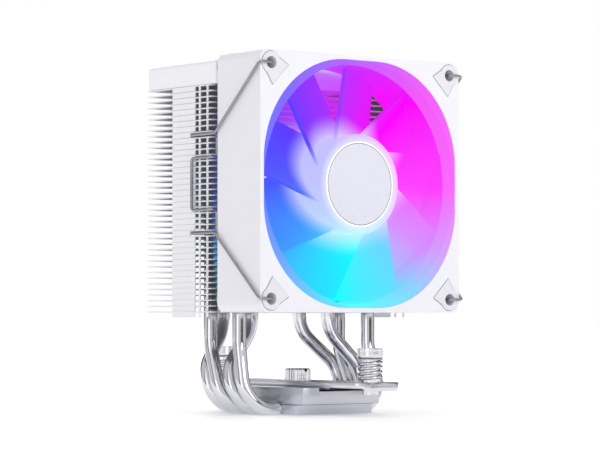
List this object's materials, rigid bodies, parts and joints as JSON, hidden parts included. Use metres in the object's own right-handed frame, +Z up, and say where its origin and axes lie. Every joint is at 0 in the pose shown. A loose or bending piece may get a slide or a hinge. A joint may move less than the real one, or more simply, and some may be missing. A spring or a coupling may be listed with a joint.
{
  "type": "cpu tower cooler",
  "caption": "Tower heat-sink with a square fan clipped to its fins, U-shaped heat pipes into a milled base and a crossbar with spring screws.",
  "frame": {"origin": "centre of the flat contact face under the base block", "axes": "+Z up from the contact face through the fins; the fan is on the -Y side and blows towards +Y; X runs across the fan"},
  "size_m": [0.0948, 0.0992, 0.1287],
  "materials": {
    "white_paint": "satin powder coat",
    "fin_white": "satin white coating on thin aluminium",
    "pipe_nickel": "polished nickel plating",
    "base_aluminium": "milled, fine straight grain",
    "bar_steel": "brushed, zinc plated",
    "screw_steel": "nickel plated steel",
    "washer_steel": "tumbled",
    "spring_steel": "plated spring wire",
    "dark_spring_steel": "blued",
    "clip_wire": "bright spring wire",
    "frame_plastic": "fine satin moulding",
    "pad_front": "smooth soft rubber",
    "pad_rear": "smooth soft rubber",
    "ring_plastic": "translucent, lit from behind",
    "blade_plastic": "translucent, lit from behind",
    "cap_plastic": "satin disc",
    "board_green": "solder mask on glass fibre",
    "board_white": "white solder mask with light sources",
    "stator_steel": "stacked electrical sheet",
    "coil_copper": "enamelled copper winding",
    "brass": "turned",
    "bronze": "sintered, oil filled",
    "black_plastic": "moulded",
    "yoke_steel": "drawn sheet",
    "magnet": "bonded ferrite",
    "shaft_steel": "ground"
  },
  "bodies": {
    "cooler": {"base_block": "base_aluminium", "heat_pipe_1": "pipe_nickel", "heat_pipe_2": "pipe_nickel", "heat_pipe_3": "pipe_nickel", "heat_pipe_4": "pipe_nickel", "fin_stack": "fin_white", "top_cover": "white_paint", "crossbar": "bar_steel", "center_screw": "screw_steel", "front_spring": "spring_steel", "rear_spring": "spring_steel", "fan_frame": "frame_plastic", "front_pads": "pad_front", "rear_pads": "pad_rear", "light_ring": "ring_plastic", "led_board": "board_white", "motor_board": "board_green", "stator_core": "stator_steel", "stator_coils": "coil_copper", "bearing_tube": "brass", "sleeve_bearing": "bronze", "bearing_plug": "black_plastic"},
    "fan_rotor": {"rotor": "blade_plastic", "hub_cap": "cap_plastic", "rotor_yoke": "yoke_steel", "rotor_magnet": "magnet", "rotor_shaft": "shaft_steel", "shaft_ring": "black_plastic"},
    "front_carrier": {"front_washer": "washer_steel"},
    "front_screw_body": {"front_screw": "screw_steel", "front_snap_ring": "dark_spring_steel"},
    "rear_carrier": {"rear_washer": "washer_steel"},
    "rear_screw_body": {"rear_screw": "screw_steel", "rear_snap_ring": "dark_spring_steel"},
    "left_clip_body": {"left_clip": "clip_wire"},
    "right_clip_body": {"right_clip": "clip_wire"}
  },
  "joints": [
    {"name": "rotor_spin", "type": "hinge", "parent": "cooler", "child": "fan_rotor", "pos_m": [0, -0.025, 0.0827], "axis": [0, 1, 0], "continuous": true},
    {"name": "front_screw_press", "type": "slide", "parent": "cooler", "child": "front_carrier", "axis": [0, 0, -1], "range_m": [0, 0.003], "stiffness_N_per_m": 2000, "springref_m": -0.0015, "deforming": ["front_spring"]},
    {"name": "front_screw_turn", "type": "hinge", "parent": "front_carrier", "child": "front_screw_body", "pos_m": [0, -0.0418, 0.0144], "axis": [0, 0, 1], "continuous": true},
    {"name": "rear_screw_press", "type": "slide", "parent": "cooler", "child": "rear_carrier", "axis": [0, 0, -1], "range_m": [0, 0.003], "stiffness_N_per_m": 2000, "springref_m": -0.0015, "deforming": ["rear_spring"]},
    {"name": "rear_screw_turn", "type": "hinge", "parent": "rear_carrier", "child": "rear_screw_body", "pos_m": [0, 0.0418, 0.0144], "axis": [0, 0, 1], "continuous": true},
    {"name": "left_clip_swing", "type": "hinge", "parent": "cooler", "child": "left_clip_body", "pos_m": [-0.04125, -0.0345, 0.0827], "axis": [0, 0, 1], "range_deg": [0, 12]},
    {"name": "right_clip_swing", "type": "hinge", "parent": "cooler", "child": "right_clip_body", "pos_m": [0.04125, -0.0345, 0.0827], "axis": [0, 0, -1], "range_deg": [0, 12]}
  ]
}
